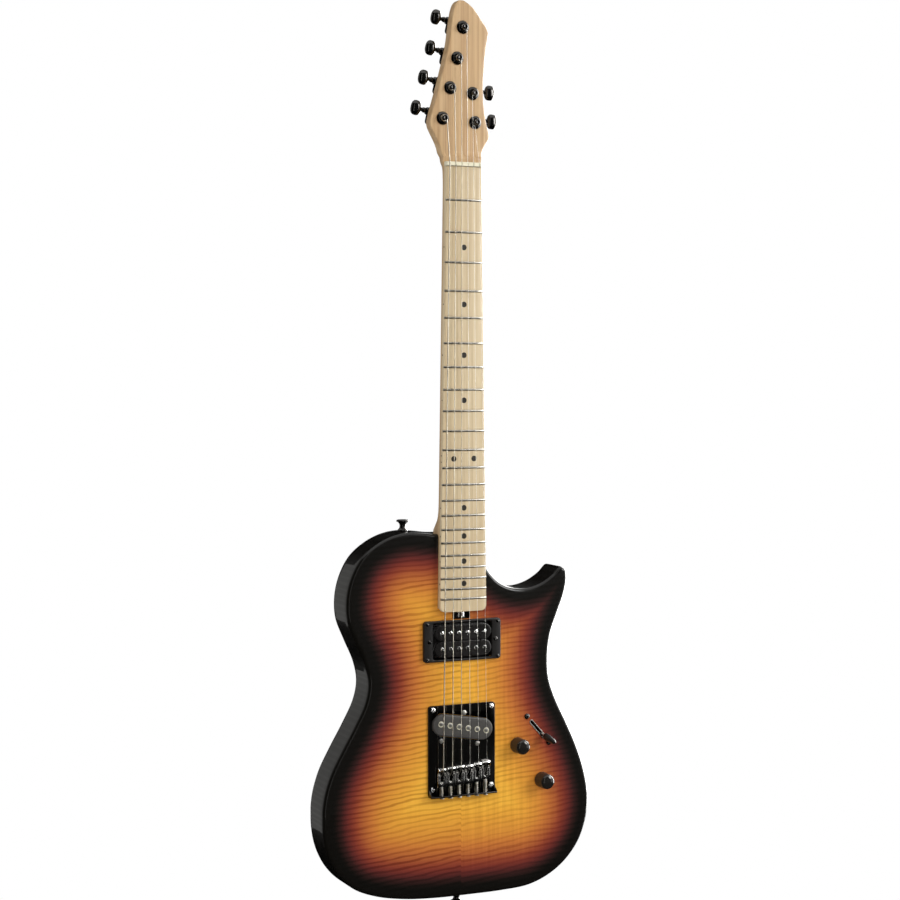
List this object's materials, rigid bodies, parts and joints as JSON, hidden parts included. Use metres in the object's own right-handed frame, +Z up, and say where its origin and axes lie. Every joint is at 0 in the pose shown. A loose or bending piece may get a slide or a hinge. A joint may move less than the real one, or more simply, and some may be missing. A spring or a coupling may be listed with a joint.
{
  "type": "electric guitar",
  "caption": "Solid-body single-cutaway electric guitar with a bolt-on maple neck, geared tuners, sliding saddles, height-set pickups, turning controls and a pickup selector.",
  "frame": {"origin": "in the middle of the headstock root just behind the nut, where a hanger's yoke carries the instrument", "axes": "+Z up along the neck towards the headstock; the strings and front face look along -Y; +X towards the treble side"},
  "size_m": [0.323, 0.0685, 0.9846],
  "materials": {
    "body_lacquer": "gloss black lacquer",
    "flamed_top": "gloss sunburst over flamed maple",
    "neck_maple": "satin clear coat",
    "board_maple": "satin clear coat",
    "steel": "plain",
    "chrome": "polished",
    "black_chrome": "polished black chrome",
    "black_plastic": "fine satin",
    "bone": "polished cream",
    "string_wire": "drawn wire"
  },
  "bodies": {
    "guitar": {"body_core": "body_lacquer", "body_top": "flamed_top", "control_cover": "black_plastic", "neck_plate": "black_chrome", "neck": "neck_maple", "fretboard": "board_maple", "nut": "bone", "truss_rod": "steel", "bridge_plate": "black_chrome", "pickup_ring": "black_plastic", "volume_pot": "steel", "tone_pot": "steel", "switch_body": "black_plastic", "jack_plate": "black_chrome", "output_jack": "steel", "strap_button_upper": "black_chrome", "strap_button_end": "black_chrome", "ferrule_1": "black_chrome", "ferrule_2": "black_chrome", "ferrule_3": "black_chrome", "ferrule_4": "black_chrome", "ferrule_5": "black_chrome", "ferrule_6": "black_chrome", "tuner_housing_1": "black_chrome", "tuner_housing_2": "black_chrome", "tuner_housing_3": "black_chrome", "tuner_housing_4": "black_chrome", "tuner_housing_5": "black_chrome", "tuner_housing_6": "black_chrome", "string_1": "string_wire", "string_2": "string_wire", "string_3": "string_wire", "string_4": "string_wire", "string_5": "string_wire", "string_6": "string_wire"},
    "button_1": {"tuner_button_1": "black_chrome"},
    "post_1": {"tuner_post_1": "black_chrome"},
    "button_2": {"tuner_button_2": "black_chrome"},
    "post_2": {"tuner_post_2": "black_chrome"},
    "button_3": {"tuner_button_3": "black_chrome"},
    "post_3": {"tuner_post_3": "black_chrome"},
    "button_4": {"tuner_button_4": "black_chrome"},
    "post_4": {"tuner_post_4": "black_chrome"},
    "button_5": {"tuner_button_5": "black_chrome"},
    "post_5": {"tuner_post_5": "black_chrome"},
    "button_6": {"tuner_button_6": "black_chrome"},
    "post_6": {"tuner_post_6": "black_chrome"},
    "volume_control": {"volume_knob": "black_chrome"},
    "tone_control": {"tone_knob": "black_chrome"},
    "selector": {"switch_lever": "steel", "switch_tip": "black_plastic"},
    "saddle_1": {"saddle_1": "chrome"},
    "saddle_2": {"saddle_2": "chrome"},
    "saddle_3": {"saddle_3": "chrome"},
    "saddle_4": {"saddle_4": "chrome"},
    "saddle_5": {"saddle_5": "chrome"},
    "saddle_6": {"saddle_6": "chrome"},
    "neck_pickup": {"neck_pickup": "black_plastic"},
    "bridge_pickup": {"bridge_pickup": "black_plastic"},
    "truss_nut": {"truss_rod_nut": "chrome"}
  },
  "joints": [
    {"name": "tuner_button_1_turn", "type": "hinge", "parent": "guitar", "child": "button_1", "pos_m": [-0.04456, 0.0075, 0.04938], "axis": [-0.9751, 0, 0.2215], "continuous": true},
    {"name": "tuner_post_1_turn", "type": "hinge", "parent": "guitar", "child": "post_1", "pos_m": [-0.0212, -0.0158, 0.0371], "axis": [0, -1, 0], "continuous": true},
    {"name": "tuner_button_2_turn", "type": "hinge", "parent": "guitar", "child": "button_2", "pos_m": [-0.03566, 0.0075, 0.08228], "axis": [-0.9751, 0, 0.2215], "continuous": true},
    {"name": "tuner_post_2_turn", "type": "hinge", "parent": "guitar", "child": "post_2", "pos_m": [-0.0123, -0.0158, 0.07], "axis": [0, -1, 0], "continuous": true},
    {"name": "tuner_button_3_turn", "type": "hinge", "parent": "guitar", "child": "button_3", "pos_m": [-0.02746, 0.0075, 0.11428], "axis": [-0.9751, 0, 0.2215], "continuous": true},
    {"name": "tuner_post_3_turn", "type": "hinge", "parent": "guitar", "child": "post_3", "pos_m": [-0.0041, -0.0158, 0.102], "axis": [0, -1, 0], "continuous": true},
    {"name": "tuner_button_4_turn", "type": "hinge", "parent": "guitar", "child": "button_4", "pos_m": [-0.02086, 0.0075, 0.14768], "axis": [-0.9751, 0, 0.2215], "continuous": true},
    {"name": "tuner_post_4_turn", "type": "hinge", "parent": "guitar", "child": "post_4", "pos_m": [0.0025, -0.0158, 0.1354], "axis": [0, -1, 0], "continuous": true},
    {"name": "tuner_button_5_turn", "type": "hinge", "parent": "guitar", "child": "button_5", "pos_m": [0.04289, 0.0075, 0.06973], "axis": [0.9962, 0, -0.0872], "continuous": true},
    {"name": "tuner_post_5_turn", "type": "hinge", "parent": "guitar", "child": "post_5", "pos_m": [0.0144, -0.0158, 0.0654], "axis": [0, -1, 0], "continuous": true},
    {"name": "tuner_button_6_turn", "type": "hinge", "parent": "guitar", "child": "button_6", "pos_m": [0.04569, 0.0075, 0.03863], "axis": [0.9962, 0, -0.0872], "continuous": true},
    {"name": "tuner_post_6_turn", "type": "hinge", "parent": "guitar", "child": "post_6", "pos_m": [0.0172, -0.0158, 0.0343], "axis": [0, -1, 0], "continuous": true},
    {"name": "volume_turn", "type": "hinge", "parent": "guitar", "child": "volume_control", "pos_m": [0.068, -0.013, -0.6465], "axis": [0, -1, 0], "range_deg": [0, 290]},
    {"name": "tone_turn", "type": "hinge", "parent": "guitar", "child": "tone_control", "pos_m": [0.0982, -0.013, -0.6876], "axis": [0, -1, 0], "range_deg": [0, 290]},
    {"name": "selector_throw", "type": "hinge", "parent": "guitar", "child": "selector", "pos_m": [0.0937, 0.0095, -0.6312], "axis": [0.7513, 0, 0.66], "range_deg": [-40, 0]},
    {"name": "saddle_1_intonation", "type": "slide", "parent": "guitar", "child": "saddle_1", "axis": [0, 0, 1], "range_m": [-0.0035, 0.0035], "deforming": ["string_1"]},
    {"name": "saddle_2_intonation", "type": "slide", "parent": "guitar", "child": "saddle_2", "axis": [0, 0, 1], "range_m": [-0.0035, 0.0035], "deforming": ["string_2"]},
    {"name": "saddle_3_intonation", "type": "slide", "parent": "guitar", "child": "saddle_3", "axis": [0, 0, 1], "range_m": [-0.0035, 0.0035], "deforming": ["string_3"]},
    {"name": "saddle_4_intonation", "type": "slide", "parent": "guitar", "child": "saddle_4", "axis": [0, 0, 1], "range_m": [-0.0035, 0.0035], "deforming": ["string_4"]},
    {"name": "saddle_5_intonation", "type": "slide", "parent": "guitar", "child": "saddle_5", "axis": [0, 0, 1], "range_m": [-0.0035, 0.0035], "deforming": ["string_5"]},
    {"name": "saddle_6_intonation", "type": "slide", "parent": "guitar", "child": "saddle_6", "axis": [0, 0, 1], "range_m": [-0.0035, 0.0035], "deforming": ["string_6"]},
    {"name": "neck_pickup_height", "type": "slide", "parent": "guitar", "child": "neck_pickup", "axis": [0, -1, 0], "range_m": [-0.0025, 0.002]},
    {"name": "bridge_pickup_height", "type": "slide", "parent": "guitar", "child": "bridge_pickup", "axis": [0, -1, 0], "range_m": [-0.0025, 0.0015]},
    {"name": "truss_nut_turn", "type": "hinge", "parent": "guitar", "child": "truss_nut", "pos_m": [0, -0.0087, -0.498], "axis": [0, 0, -1], "range_deg": [-180, 180]}
  ],
  "couplings": [
    {"joint": "tuner_post_1_turn", "follows": "tuner_button_1_turn", "ratio": 0.066667},
    {"joint": "tuner_post_2_turn", "follows": "tuner_button_2_turn", "ratio": 0.066667},
    {"joint": "tuner_post_3_turn", "follows": "tuner_button_3_turn", "ratio": 0.066667},
    {"joint": "tuner_post_4_turn", "follows": "tuner_button_4_turn", "ratio": 0.066667},
    {"joint": "tuner_post_5_turn", "follows": "tuner_button_5_turn", "ratio": -0.066667},
    {"joint": "tuner_post_6_turn", "follows": "tuner_button_6_turn", "ratio": -0.066667}
  ]
}
